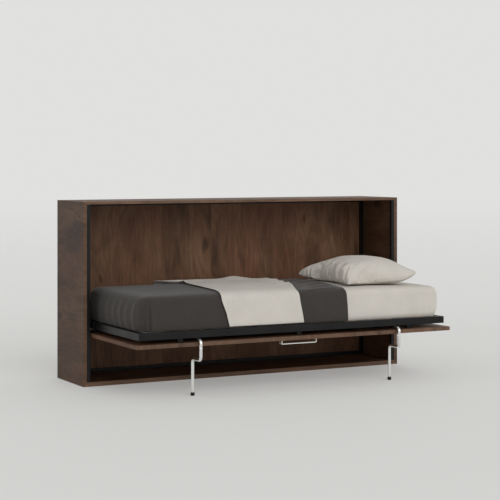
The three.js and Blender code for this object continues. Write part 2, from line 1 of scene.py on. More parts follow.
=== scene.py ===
"""Looks of the wall bed: bedding, finishes, studio and camera.

Everything is in metres in the CAD frame: X along the bed, front at -Y, wall at
+Y, floor at Z 0. Places come from the CAD nodes' boxes.
"""

import math

import bmesh
import bpy
import numpy as np
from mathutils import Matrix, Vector


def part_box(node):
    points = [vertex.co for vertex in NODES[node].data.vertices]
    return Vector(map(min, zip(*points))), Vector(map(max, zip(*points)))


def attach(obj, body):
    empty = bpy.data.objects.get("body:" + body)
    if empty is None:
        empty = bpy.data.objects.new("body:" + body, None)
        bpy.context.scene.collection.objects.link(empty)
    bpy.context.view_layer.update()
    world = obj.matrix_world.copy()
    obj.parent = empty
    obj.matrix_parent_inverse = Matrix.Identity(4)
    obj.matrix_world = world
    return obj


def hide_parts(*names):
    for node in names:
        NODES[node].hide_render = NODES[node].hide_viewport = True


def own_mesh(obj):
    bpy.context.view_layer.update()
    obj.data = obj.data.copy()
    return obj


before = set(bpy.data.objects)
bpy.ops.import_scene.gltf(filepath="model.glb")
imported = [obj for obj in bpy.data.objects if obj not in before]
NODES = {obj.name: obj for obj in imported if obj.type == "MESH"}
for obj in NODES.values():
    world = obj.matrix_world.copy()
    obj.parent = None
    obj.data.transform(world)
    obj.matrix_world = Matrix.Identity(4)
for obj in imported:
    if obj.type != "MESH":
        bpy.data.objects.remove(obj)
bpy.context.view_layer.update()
MM = 0.001

# ---- camera and studio ----
CAMERA_PLACE = (-4.183, -8.196, 1.291)
CAMERA_TURN = -27.69
CAMERA_LENS = 108.4
CAMERA_SHIFT = -0.1815
BACKDROP = (0.752, 0.752, 0.738)
SKY_LOW = 1.02
SKY_HIGH = 0.38
SKY_FROM = 0.1
SKY_TO = 0.95
KEY_PLACE = (0.4, -5.0, 3.4)
KEY_STRENGTH = 0.85
KEY_SPREAD = 42.0
FLOOR_COLOUR = (0.80, 0.80, 0.785)
# Share of the floor near the bed that glows in the backdrop's tone: painted light that lifts the floor's
# shade under the bed.
FLOOR_GLOW = 0.34
FLOOR_SIZE = 90.0
FADE_START = 3.0
FADE_END = 34.0

# ---- walnut, linear colours ----
WALNUT_DARK = (0.090, 0.0440, 0.0235)
WALNUT_MIDDLE = (0.122, 0.0625, 0.0345)
WALNUT_PALE = (0.158, 0.0855, 0.0475)
WALNUT_RED = (0.150, 0.0600, 0.0330)
WALNUT_BAND = (0.126, 0.0790, 0.0530)
PLANK_WIDTH = 0.335

# ---- bedding ----
LINEN = (0.60, 0.565, 0.515)
CHARCOAL = (0.046, 0.0405, 0.0365)
# Near-black cloth round the throw's rim: painted shadow for the dark line under its raised foot edge.
THROW_RIM_SHADOW = (0.014, 0.013, 0.012)
MATTRESS_CORNER = 0.040
FOOT_CORNER = 0.078
MATTRESS_EDGE = 0.034
HEAD_BULGE = 0.014
HEAD_EDGE = 0.014
HEAD_SAG = 0.009
COVERLET_CLEARANCE = 0.0028
COVERLET_THICK = 0.0042
COVERLET_HEM = 0.3625
THROW_CLEARANCE = 0.0100
THROW_THICK = 0.0072
THROW_HEM = 0.3668
THROW_WIDTH = 0.6
COVERLET_HEAD = 0.34
GRID = 0.012
# The coverlet's grid is twice as fine over this length at its foot, for the corner's folds.
FINE_FOOT = 0.12

# Folds down the coverlet's foot: place from the front, lean, width, height.
FOOT_FOLDS = (
    (0.070, 0.030, 0.018, 0.0085),
    (0.150, 0.050, 0.022, 0.0050),
    (0.235, 0.055, 0.017, 0.0065),
    (0.325, 0.060, 0.019, 0.0055),
    (0.420, 0.050, 0.024, 0.0042),
    (0.545, 0.035, 0.030, 0.0042),
)
# Folds down its front: X, lean, width, height. The first four gather at the foot's corner.
FRONT_FOLDS = (
    (-0.893, 0.004, 0.010, 0.0060),
    (-0.909, 0.006, 0.007, -0.0085),
    (-0.922, 0.008, 0.008, 0.0055),
    (-0.934, 0.010, 0.006, -0.0070),
    (-0.700, 0.012, 0.030, 0.0018),
    (-0.560, -0.015, 0.034, 0.0016),
    (0.120, 0.020, 0.030, 0.0020),
    (0.215, -0.012, 0.024, 0.0016),
)
# Creases across its top: from X, Y, to X, Y, width, height.
COVERLET_CREASES = (
    (0.050, -0.770, 0.330, -0.730, 0.010, 0.0070),
    (0.110, -0.700, 0.350, -0.600, 0.012, 0.0090),
    (0.190, -0.560, 0.400, -0.380, 0.013, 0.0095),
    (0.215, -0.400, 0.430, -0.230, 0.012, 0.0090),
    (0.230, -0.260, 0.430, -0.080, 0.015, 0.0095),
    (-0.880, -0.640, -0.520, -0.700, 0.040, 0.0022),
    (-0.860, -0.380, -0.500, -0.300, 0.045, 0.0025),
)
# Creases across the throw's top, in the same order.
THROW_CREASES = (
    (0.010, -0.700, 0.110, -0.520, 0.030, 0.0045),
    (-0.060, -0.560, 0.170, -0.430, 0.019, 0.0085),
    (-0.020, -0.330, 0.200, -0.320, 0.022, 0.0070),
    (-0.090, -0.140, 0.220, -0.215, 0.024, 0.0075),
    (-0.300, -0.640, -0.060, -0.280, 0.050, 0.0030),
    (-0.450, -0.420, -0.150, -0.120, 0.045, 0.0035),
    (-0.060, -0.560, 0.150, -0.160, 0.040, 0.0035),
)
THROW_REAR_HUMP = 0.017
# Folds down the fitted sheet's front: X, lean, width, height.
SHEET_FOLDS = (
    (0.500, -0.030, 0.016, 0.0022),
    (0.560, 0.020, 0.020, 0.0018),
    (0.720, -0.020, 0.022, 0.0016),
    (0.842, -0.030, 0.016, 0.0024),
    (0.880, -0.012, 0.012, 0.0022),
)

# ---- pillow ----
PILLOW_CUT = (0.55, 0.67)
PILLOW_SPAN = (0.486, 0.587)
PILLOW_CENTRE = (0.629, -0.412)
PILLOW_TURN = -2.3
PILLOW_GRID = 0.0072
PILLOW_CROWN = 0.128
PILLOW_BELLY = 0.034
PILLOW_LIFT = 0.0045
PILLOW_FRAMES = 36
PILLOW_FULLNESS = 0.68
# Side across, side along, and how much each corner stands above the seam.
PILLOW_CORNERS = ((-1, 1, -0.002), (-1, -1, -0.022), (1, -1, 0.038), (1, 1, 0.014))
PILLOW_TUCK = 0.030
# How much of the head side's form is the plain one instead of the simulated one.
PILLOW_EVENED = 0.75
# Gathers from the foot-side seam: start along it, lean, reach, width, depth.
PILLOW_GATHERS = (
    (0.84, -0.60, 0.34, 0.016, 0.0050),
    (0.72, -0.15, 0.30, 0.014, 0.0055),
    (0.60, -0.45, 0.40, 0.017, 0.0070),
    (0.46, -0.50, 0.56, 0.020, 0.0095),
    (0.33, 0.20, 0.34, 0.015, 0.0065),
    (0.20, -0.30, 0.44, 0.016, 0.0070),
    (0.06, -0.20, 0.62, 0.021, 0.0105),
    (-0.08, 0.30, 0.36, 0.016, 0.0070),
    (-0.22, -0.15, 0.46, 0.017, 0.0080),
    (-0.34, -0.05, 0.66, 0.022, 0.0110),
    (-0.50, 0.40, 0.44, 0.017, 0.0085),
    (-0.64, -0.05, 0.66, 0.022, 0.0110),
    (-0.76, 0.40, 0.46, 0.017, 0.0085),
    (-0.88, 0.60, 0.45, 0.020, 0.0095),
)
GATHER_DEPTH = 1.35


# ---------------------------------------------------------------- node helpers
class Tree:
    """One material's nodes, built with short calls."""

    def __init__(self, name):
        self.material = bpy.data.materials.new(name)
        self.material.use_nodes = True
        self.nodes = self.material.node_tree.nodes
        self.links = self.material.node_tree.links
        self.shader = self.nodes["Principled BSDF"]

    def add(self, kind, inputs=None, **settings):
        node = self.nodes.new(kind)
        for key, value in settings.items():
            setattr(node, key, value)
        for key, value in (inputs or {}).items():
            self.put(node.inputs[key], value)
        return node

    def put(self, socket, value):
        if isinstance(value, bpy.types.NodeSocket):
            self.links.new(value, socket)
        else:
            socket.default_value = value

    def math(self, operation, *values):
        node = self.add("ShaderNodeMath", operation=operation)
        for socket, value in zip(node.inputs, values):
            self.put(socket, value)
        return node.outputs[0]

    def remap(self, value, low, high, to_low=0.0, to_high=1.0):
        inputs = {
            "Value": value,
            "From Min": low,
            "From Max": high,
            "To Min": to_low,
            "To Max": to_high,
        }
        return self.add("ShaderNodeMapRange", inputs).outputs["Result"]

    def mix(self, factor, a, b, blend="MIX"):
        node = self.add("ShaderNodeMix", data_type="RGBA", blend_type=blend)
        self.put(node.inputs[0], factor)
        for socket, value in ((node.inputs[6], a), (node.inputs[7], b)):
            self.put(socket, rgba(value) if isinstance(value, tuple) else value)
        return node.outputs[2]

    def scaled(self, source, scale, offset=(0, 0, 0)):
        inputs = {"Vector": source, "Scale": scale, "Location": offset}
        return self.add("ShaderNodeMapping", inputs).outputs[0]

    def noise(self, vector, scale=1.0, detail=2.0, rough=0.5, distortion=0.0):
        inputs = {
            "Vector": vector,
            "Scale": scale,
            "Detail": detail,
            "Roughness": rough,
            "Distortion": distortion,
        }
        return self.add("ShaderNodeTexNoise", inputs).outputs[0]

    def ramp(self, value, *stops):
        node = self.add("ShaderNodeValToRGB", {"Fac": value})
        elements = node.color_ramp.elements
        while len(elements) < len(stops):
            elements.new(0.5)
        for element, (place, colour) in zip(elements, stops):
            element.position = place
            element.color = rgba(colour)
        return node.outputs[0]

    def bump(self, height, strength, distance):
        inputs = {"Height": height, "Strength": strength, "Distance": distance}
        self.put(self.shader.inputs["Normal"], self.add("ShaderNodeBump", inputs).outputs[0])

    def set(self, **values):
        for key, value in values.items():
            self.put(self.shader.inputs[key.replace("_", " ")], value)
        return self.material

    def product(self, *values):
        result = values[0]
        for value in values[1:]:
            result = self.math("MULTIPLY", result, value)
        return result

    def axis(self, vector, letter):
        return self.add("ShaderNodeSeparateXYZ", {"Vector": vector}).outputs[letter]

    def coordinates(self, which="Object"):
        return self.add("ShaderNodeTexCoord").outputs[which]


def rgba(colour):
    return (*colour[:3], 1.0)


# ---------------------------------------------------------------- finishes
def grain_scale(grain, across, along):
    return tuple(along if axis == grain else across for axis in "XYZ")


def walnut(name, grain, across, tone=1.0, front_face_light=1.0, band=0.6, plank=0.0, offset=(0.0, 0.0, 0.0)):
    """Rustic dark walnut. grain and across are the axes of its face; plank is its leaves' width.

    Front edges, which face -Y, carry a paler band of edge-banding colour. tone is painted light and shade,
    one brightness for each panel for how the light falls on it; its front faces get a brightness of their
    own, painted light on the faces toward -Y.
    """
    t = Tree(name)
    place = t.scaled(t.coordinates(), (1, 1, 1), offset)
    leaf_tone = 1.0
    if plank:
        leaf = t.math("FLOOR", t.math("DIVIDE", t.axis(place, across), plank))
        random = t.add("ShaderNodeTexWhiteNoise", {"W": leaf}, noise_dimensions="1D").outputs[0]
        shift = t.add("ShaderNodeCombineXYZ", {grain: t.math("MULTIPLY", random, 7.0)}).outputs[0]
        place = t.add("ShaderNodeVectorMath", {0: place, 1: shift}).outputs[0]
        leaf_tone = t.remap(random, 0, 1, 0.93, 1.06)
    flat = {"X": t.axis(place, across), "Y": t.axis(place, grain)}
    flat = t.add("ShaderNodeCombineXYZ", flat).outputs[0]
    knots = t.add(
        "ShaderNodeTexVoronoi",
        {"Vector": t.scaled(flat, (2.3, 1.3, 1)), "Scale": 1.0},
        voronoi_dimensions="2D",
    )
    away = knots.outputs["Distance"]
    size = t.remap(t.axis(knots.outputs["Color"], "X"), 0, 1, 0.015, 0.060)
    ragged = t.noise(t.scaled(flat, (34, 12, 1)), 1.0, 2.0)
    worn = t.math("ADD", away, t.remap(ragged, 0.2, 0.8, -0.022, 0.022))
    knot = t.remap(t.math("DIVIDE", worn, size), 0.55, 1.35, 0.45, 1.0)
    bend = t.remap(away, 0.0, 0.30, 0.16, 0.0)
    figure = t.noise(t.scaled(flat, (4.6, 0.85, 1)), 1.0, 3.0, 0.5, 0.4)
    rings = t.math("SINE", t.math("MULTIPLY", t.math("ADD", figure, bend), 74.0))
    broad = t.noise(t.scaled(place, grain_scale(grain, 5.0, 2.2)), 1.0, 3.0, 0.6, 0.3)
    colour = t.ramp(
        broad,
        (0.36, WALNUT_DARK),
        (0.50, WALNUT_MIDDLE),
        (0.64, WALNUT_PALE),
    )
    red = t.noise(t.scaled(place, grain_scale(grain, 3.6, 1.6), (3.1, 1.7, 4.2)), 1.0, 2.0)
    colour = t.mix(t.remap(red, 0.46, 0.70, 0.0, 0.55), colour, WALNUT_RED)
    # Faces toward -Y: the edge band's colour is mixed in here, and below they also get painted light.
    edge = t.remap(t.axis(t.coordinates("Normal"), "Y"), -0.75, -0.95)
    colour = t.mix(t.math("MULTIPLY", edge, band), colour, WALNUT_BAND)
    stain = t.noise(t.scaled(place, grain_scale(grain, 11, 2.6), (7.0, 2.0, 1.0)), 1.0, 2.0)
    streak = t.noise(t.scaled(place, grain_scale(grain, 105, 4.5)), 1.0, 3.0, 0.7)
    fibre = t.noise(t.scaled(place, grain_scale(grain, 520, 12)), 1.0, 2.0, 0.6)
    pore = t.noise(t.scaled(place, grain_scale(grain, 900, 26)), 1.0, 1.0, 0.5)
    pores = t.remap(pore, 0.60, 0.72)
    # Grain, streaks, pores, stains and knots, times painted light and shade: each panel's own brightness,
    # with another for its faces toward -Y.
    shade = t.product(
        t.remap(rings, -1, 1, 0.88, 1.07),
        t.remap(streak, 0.3, 0.7, 0.82, 1.16),
        t.remap(fibre, 0.25, 0.75, 0.74, 1.24),
        t.remap(pores, 0, 1, 1.0, 0.55),
        t.remap(stain, 0.56, 0.72, 1.0, 0.62),
        knot,
        leaf_tone,
        t.remap(edge, 0, 1, tone, front_face_light),
    )
    grey = t.add("ShaderNodeCombineColor", {0: shade, 1: shade, 2: shade}).outputs[0]
    t.bump(t.math("SUBTRACT", fibre, t.math("MULTIPLY", pores, 0.8)), 0.35, 0.0002)
    t.shader.inputs["Specular IOR Level"].default_value = 0.2
    return t.set(
        Base_Color=t.mix(1.0, colour, grey, "MULTIPLY"),
        Roughness=t.remap(pores, 0, 1, 0.54, 0.74),
    )


def light_wood(name, grain):
    t = Tree(name)
    place = t.coordinates()
    broad = t.noise(t.scaled(place, grain_scale(grain, 14, 1.6)), 1.0, 3.0, 0.6, 0.3)
    fibre = t.noise(t.scaled(place, grain_scale(grain, 600, 14)), 1.0, 2.0)
    colour = t.ramp(broad, (0.3, (0.42, 0.27, 0.14)), (0.5, (0.55, 0.38, 0.21)), (0.7, (0.63, 0.46, 0.27)))
    streak = t.remap(fibre, 0.3, 0.7, 0.85, 1.1)
    grey = t.add("ShaderNodeCombineColor", {0: streak, 1: streak, 2: streak}).outputs[0]
    t.bump(fibre, 0.3, 0.0002)
    return t.set(Base_Color=t.mix(1.0, colour, grey, "MULTIPLY"), Roughness=0.58)


def powder_coat(name, colour, roughness):
    """Coated steel: a fine orange-peel skin with slight unevenness of gloss."""
    t = Tree(name)
    place = t.coordinates()
    peel = t.noise(place, 950.0, 2.0)
    cloud = t.noise(place, 9.0, 3.0)
    tone = t.mix(t.remap(cloud, 0.35, 0.65), colour, tuple(1.35 * c for c in colour))
    t.bump(peel, 0.30, 0.00012)
    rough = t.remap(cloud, 0.3, 0.7, roughness - 0.05, roughness + 0.07)
    t.shader.inputs["Specular IOR Level"].default_value = 0.22
    return t.set(Base_Color=tone, Roughness=rough)


def metal(name, colour, low, high, brushed=None):
    """Bare metal. brushed is the axis that its fine lines run along."""
    t = Tree(name)
    place = t.coordinates()
    if brushed:
        lines = t.noise(t.scaled(place, grain_scale(brushed, 2600, 40)), 1.0, 2.0)
        t.bump(lines, 0.12, 0.00005)
        rough = t.remap(lines, 0.3, 0.7, low, high)
    else:
        rough = t.remap(t.noise(place, 26.0, 4.0), 0.35, 0.65, low, high)
    smear = t.remap(t.noise(place, 11.0, 2.0), 0.3, 0.7)
    tone = t.mix(smear, tuple(0.94 * c for c in colour), colour)
    t.shader.inputs["Metallic"].default_value = 1.0
    return t.set(Base_Color=tone, Roughness=rough)


def plastic(name, colour, roughness):
    """Moulded plastic with a fine spark-eroded grain."""
    t = Tree(name)
    place = t.coordinates()
    grain = t.noise(place, 1400.0, 2.0)
    tone = t.mix(t.noise(place, 30.0, 2.0), tuple(0.8 * c for c in colour), tuple(1.2 * c for c in colour))
    t.bump(grain, 0.35, 0.0001)
    t.shader.inputs["Specular IOR Level"].default_value = 0.2
    return t.set(Base_Color=tone, Roughness=roughness)


def fabric(name, colour, pitch, depth, fleck, sheen, sheen_roughness, roughness=0.92):
    """Plain-woven cloth. Its UVs are metres of flat cloth, so the threads follow the folds."""
    t = Tree(name)
    cloth = t.coordinates("UV")
    axes = t.add("ShaderNodeSeparateXYZ", {"Vector": cloth})
    turn = 2 * math.pi / pitch
    wander = t.math("MULTIPLY", t.noise(cloth, 40.0, 2.0), 6.0)
    warp = t.math("SINE", t.math("ADD", t.math("MULTIPLY", axes.outputs[0], turn), wander))
    weft = t.math("SINE", t.math("ADD", t.math("MULTIPLY", axes.outputs[1], turn), wander))
    weave = t.math("MULTIPLY", warp, weft)
    slub_warp = t.noise(t.scaled(cloth, (0.35 / pitch, 16.0, 1)), 1.0, 2.0)
    slub_weft = t.noise(t.scaled(cloth, (16.0, 0.35 / pitch, 1)), 1.0, 2.0)
    slub = t.math("ADD", slub_warp, slub_weft)
    soft = t.noise(cloth, 7.0, 3.0)
    shade = t.math(
        "MULTIPLY", t.remap(slub, 0.8, 1.2, 1 - fleck, 1 + fleck), t.remap(soft, 0.3, 0.7, 0.96, 1.04)
    )
    shade = t.math("MULTIPLY", shade, t.remap(weave, -1, 1, 1 - 0.6 * fleck, 1 + 0.3 * fleck))
    grey = t.add("ShaderNodeCombineColor", {0: shade, 1: shade, 2: shade}).outputs[0]
    tint = t.add("ShaderNodeRGB").outputs[0]
    tint.default_value = rgba(colour)
    height = t.math("ADD", weave, slub)
    t.bump(height, 0.5, depth)
    t.shader.inputs["Sheen Weight"].default_value = sheen
    t.shader.inputs["Sheen Roughness"].default_value = sheen_roughness
    t.shader.inputs["Sheen Tint"].default_value = rgba(tuple(min(1.0, 0.35 + c) for c in colour))
    t.shader.inputs["Specular IOR Level"].default_value = 0.2
    return t.set(Base_Color=t.mix(1.0, tint, grey, "MULTIPLY"), Roughness=roughness)


# ---------------------------------------------------------------- mesh helpers
def make_object(name, points, faces, uvs=None):
    """A smooth-shaded mesh. uvs gives one flat-cloth point per vertex."""
    mesh = bpy.data.meshes.new(name)
    mesh.from_pydata([tuple(p) for p in points], [], faces)
    mesh.update()
    if uvs is not None:
        layer = mesh.uv_layers.new(name="cloth")
        loops = np.zeros(len(mesh.loops), np.int32)
        mesh.loops.foreach_get("vertex_index", loops)
        layer.data.foreach_set("uv", np.asarray(uvs, np.float32)[loops].ravel())
    mesh.polygons.foreach_set("use_smooth", [True] * len(mesh.polygons))
    piece = bpy.data.objects.new(name, mesh)
    bpy.context.scene.collection.objects.link(piece)
    return piece


def grid_faces(columns, rows, start=0, flip=False):
    """Quads of a grid whose points run row after row."""
    faces = []
    for j in range(rows - 1):
        for i in range(columns - 1):
            a = start + j * columns + i
            quad = (a, a + 1, a + 1 + columns, a + columns)
            faces.append(quad[::-1] if flip else quad)
    return faces


def steps(low, high, pitch=GRID):
    return np.linspace(low, high, max(2, int(round((high - low) / pitch)) + 1))


def smoothstep(value, low, high):
    t = np.clip((value - low) / (high - low), 0, 1)
    return t * t * (3 - 2 * t)


def ridge(value, width):
    return np.exp(-((value / width) ** 2))


def finish_soft(piece, thickness=None):
    """Gives a piece of cloth its thickness, and rounds it.

    The rim takes the piece's second material, where it has one.
    """
    if thickness:
        solid = piece.modifiers.new("thickness", "SOLIDIFY")
        solid.thickness = thickness
        solid.offset = 0
        solid.use_even_offset = True
        solid.material_offset_rim = 1
    smooth = piece.modifiers.new("round", "SUBSURF")
    smooth.levels = 1
    smooth.render_levels = 1
    return piece


# ---------------------------------------------------------------- bedding forms
mattress_low, mattress_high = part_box("mattress")
MIDDLE_Y = (mattress_low.y + mattress_high.y) / 2
MIDDLE_X = (mattress_low.x + mattress_high.x) / 2
HALF_LENGTH = (mattress_high.x - mattress_low.x) / 2
HALF_WIDTH = (mattress_high.y - mattress_low.y) / 2


def rounded(points, gap):
    """Moves points of a sharp box round the mattress, gap outside it, onto its rounded form.

    Returns the new points and their outward directions.
    """
    p = np.array(points, float)
    p[:, 0] -= MIDDLE_X
    p[:, 1] -= MIDDLE_Y
    to_head = smoothstep(p[:, 0], 0.2, 0.8)
    corner = (FOOT_CORNER + (MATTRESS_CORNER - FOOT_CORNER) * to_head + gap)[:, None]
    edge = MATTRESS_EDGE + gap + HEAD_EDGE * smoothstep(p[:, 0], 0.70, 0.90)
    half = np.array([HALF_LENGTH, HALF_WIDTH]) + gap - corner
    top = mattress_high.z + gap - edge
    core = np.column_stack([np.clip(p[:, :2], -half, half), np.minimum(p[:, 2], top)])
    size = np.column_stack([corner, corner, edge])
    away = (p - core) / size
    power = 2.5
    length = (np.abs(away) ** power).sum(1) ** (1 / power)
    away /= np.maximum(length, 1e-9)[:, None]
    out = core + away * size
    outward = away / np.maximum(np.linalg.norm(away, axis=1), 1e-9)[:, None]
    out[:, 0] += MIDDLE_X
    out[:, 1] += MIDDLE_Y
    share = smoothstep(out[:, 2], 0.40, 0.54)
    out[:, 2] -= HEAD_SAG * share * smoothstep(out[:, 0], 0.30, 0.93)
    belly = smoothstep(out[:, 2], 0.358, 0.43) * (1 - 0.5 * smoothstep(out[:, 2], 0.46, 0.54))
    out[:, 0] += HEAD_BULGE * belly * smoothstep(out[:, 0], 0.80, 0.95)
    return out, outward


class Section:
    """The sharp outline of a cloth over the mattress: front hem, up, across, down to the rear hem."""

    def __init__(self, gap, hem):
        self.gap = gap
        self.front = mattress_low.y - gap
        self.rear = mattress_high.y + gap
        self.top = mattress_high.z + gap
        self.hem = hem
        self.rise = self.top - hem
        self.across = self.rear - self.front
        self.length = 2 * self.rise + self.across

    def at(self, s):
        y = np.clip(self.front + s - self.rise, self.front, self.rear)
        z = self.hem + np.minimum(np.minimum(s, self.length - s), self.rise)
        return y, z

    def s_of_front(self, z):
        return z - self.hem

    def s_of_top(self, y):
        return self.rise + y - self.front

    def steps(self):
        parts = [
            steps(0, self.rise),
            steps(self.rise, self.rise + self.across)[1:],
            steps(self.rise + self.across, self.length)[1:],
        ]
        return np.concatenate(parts)


def smooth_curve(s, places, values, reach=0.05):
    """Straight pieces through the given values, with their corners smoothed over that reach."""
    offsets = np.linspace(-reach, reach, 9)
    return np.mean([np.interp(s + o, places, values) for o in offsets], axis=0)


def coverlet():
    section = Section(COVERLET_CLEARANCE, COVERLET_HEM)
    s = section.steps()
    y, z = section.at(s)
    head = smooth_curve(
        s,
        [0, section.s_of_front(0.483), section.rise, section.s_of_top(-0.267), section.length],
        [0.340, 0.334, 0.322, 0.440, 0.455],
    )
    foot = mattress_low.x - section.gap
    reach = COVERLET_HEAD - foot
    fine = FINE_FOOT / reach
    share = np.concatenate([
        steps(0, fine, 0.5 * GRID / reach),
        steps(fine, 1, GRID / reach)[1:],
    ])
    x = foot + share[None, :] * (head[:, None] - foot)
    points = np.stack([x, np.broadcast_to(y[:, None], x.shape), np.broadcast_to(z[:, None], x.shape)], -1)
    uvs = np.stack([x, np.broadcast_to(s[:, None], x.shape)], -1)
    columns, rows = len(share), len(s)
    faces = grid_faces(columns, rows)
    points = points.reshape(-1, 3)
    uvs = uvs.reshape(-1, 2)
    end_y = y[(s >= section.rise - 1e-9) & (s <= section.rise + section.across + 1e-9)]
    end_z = z[s <= section.rise + 1e-9][::-1]
    ey, ez = np.meshgrid(end_y, end_z)
    end = np.stack([np.full_like(ey, foot), ey, ez], -1).reshape(-1, 3)
    end_uv = np.stack([foot - (section.top - ez), section.rise + ey - section.front], -1).reshape(-1, 2)
    faces += grid_faces(len(end_y), len(end_z), len(points), flip=True)
    points = np.concatenate([points, end])
    uvs = np.concatenate([uvs, end_uv])
    formed, outward = rounded(points, section.gap)
    formed += outward * coverlet_folds(formed)[:, None]
    piece = make_object("coverlet_cloth", formed, faces, uvs)
    weld(piece)
    return finish_soft(piece, COVERLET_THICK)


def coverlet_folds(p):
    """How far the coverlet stands off its smooth form, in metres."""
    x, y, z = p.T
    drop = np.clip((0.545 - z) / 0.18, 0, 1)
    lift = np.zeros(len(p))
    at_foot = smoothstep(-x, 0.90, 0.94)
    front = mattress_low.y
    for start, lean, width, height in FOOT_FOLDS:
        line = front + start + lean * np.sin(2.7 * drop)
        lift += at_foot * height * ridge(y - line, width) * smoothstep(drop, 0.02, 0.45)
    lift += at_foot * 0.006 * ridge(drop - 0.62, 0.5) * smoothstep(drop, 0.1, 0.5)
    at_front = smoothstep(-y, 0.73, 0.77)
    for place, lean, width, height in FRONT_FOLDS:
        lift += at_front * height * ridge(x - place - lean * drop, width) * smoothstep(drop, 0.0, 0.6)
    on_top = smoothstep(z, 0.53, 0.545)
    for x0, y0, x1, y1, width, height in COVERLET_CREASES:
        along, off = line_place(x, y, x0, y0, x1, y1)
        ends = smoothstep(along, 0, 0.3) * smoothstep(1 - along, 0, 0.25)
        lift += on_top * height * ridge(off, width) * ends
    lift += 0.0007 * (1 + np.sin(9 * x + 4 * y + 2.2 * np.sin(7 * y)) * np.sin(11 * y - 3 * x))
    return lift


def line_place(x, y, x0, y0, x1, y1):
    """Where points lie along a line on the bed, 0 to 1, and how far off it."""
    dx, dy = x1 - x0, y1 - y0
    long = math.hypot(dx, dy)
    along = ((x - x0) * dx + (y - y0) * dy) / long**2
    off = ((x - x0) * dy - (y - y0) * dx) / long
    beyond = np.maximum(np.maximum(-along, along - 1), 0) * long
    return along, np.hypot(off, beyond)


def weld(piece, turn_out=True):
    """Joins faces that share an edge. turn_out also makes them all face one way."""
    mesh = bmesh.new()
    mesh.from_mesh(piece.data)
    bmesh.ops.remove_doubles(mesh, verts=mesh.verts, dist=1e-5)
    if turn_out:
        bmesh.ops.recalc_face_normals(mesh, faces=mesh.faces)
    mesh.to_mesh(piece.data)
    mesh.free()


def throw():
    section = Section(THROW_CLEARANCE, THROW_HEM)
    front, top = section.s_of_front, section.s_of_top
    s = np.unique(np.concatenate([section.steps(), steps(top(-0.09), top(-0.02), 0.004)]))
    y, z = section.at(s)
    foot = smooth_curve(
        s,
        [0, front(0.451), front(0.518), top(-0.76), top(-0.62), top(-0.395), top(-0.10), top(-0.064),
         top(-0.046), top(-0.020), top(0.010), section.length],
        [-0.430, -0.453, -0.481, -0.474, -0.438, -0.414, -0.384, -0.374, -0.505, -0.538, -0.528, -0.545],
        0.007,
    )
    head = smooth_curve(
        s,
        [0, front(0.440), front(0.497), top(-0.769), top(-0.486), top(-0.225), top(-0.069), section.length],
        [0.042, 0.028, 0.014, 0.004, 0.135, 0.190, 0.205, 0.210],
        0.03,
    )
    rim = np.array([0.0, 0.002, 0.005, 0.010, 0.016, 0.019, 0.022, 0.028])
    inner = steps(0.04, 0.56)
    flat = np.concatenate([rim, inner, (THROW_WIDTH - rim)[::-1]]) / THROW_WIDTH
    x = foot[:, None] + flat[None, :] * (head - foot)[:, None]
    grid_y = np.broadcast_to(y[:, None], x.shape)
    grid_z = np.broadcast_to(z[:, None], x.shape)
    points = np.stack([x, grid_y, grid_z], -1).reshape(-1, 3)
    uvs = np.stack([x, np.broadcast_to(s[:, None], x.shape)], -1).reshape(-1, 2)
    formed, outward = rounded(points, section.gap)
    edge = np.minimum(flat, 1 - flat) * THROW_WIDTH
    edge = np.broadcast_to(edge[None, :], x.shape).ravel()
    formed += outward * throw_folds(formed, edge)[:, None]
    piece = make_object("throw_cloth", formed, grid_faces(len(flat), len(s)), uvs)
    return finish_soft(piece, THROW_THICK)


def throw_folds(p, edge):
    """How far the throw stands off its smooth form. edge is the way in from its side edges."""
    x, y, z = p.T
    lift = 0.0010 * (1 + np.sin(11 * x + 6 * y + 1.5 * np.sin(6 * y)))
    lift += 0.0012 * ridge(edge - 0.008, 0.008)
    lift += 0.0015 * ridge(edge, 0.012) * smoothstep(-x, 0.30, 0.36)
    rear = smoothstep(y, -0.17, -0.04) * smoothstep(z, 0.50, 0.55)
    bumps = 0.62 + 0.25 * ridge(x + 0.42, 0.12) + 0.80 * ridge(x + 0.025, 0.060)
    bumps *= 1 - 0.85 * smoothstep(x, 0.03, 0.15)
    pinch = 1 - 0.95 * ridge(y + 0.066, 0.020) * smoothstep(-x, 0.28, 0.36)
    lift += THROW_REAR_HUMP * rear * bumps * pinch
    on_top = smoothstep(z, 0.53, 0.55)
    for x0, y0, x1, y1, width, height in THROW_CREASES:
        along, off = line_place(x, y, x0, y0, x1, y1)
        lift += on_top * height * ridge(off, width) * smoothstep(along, 0, 0.7)
    return lift


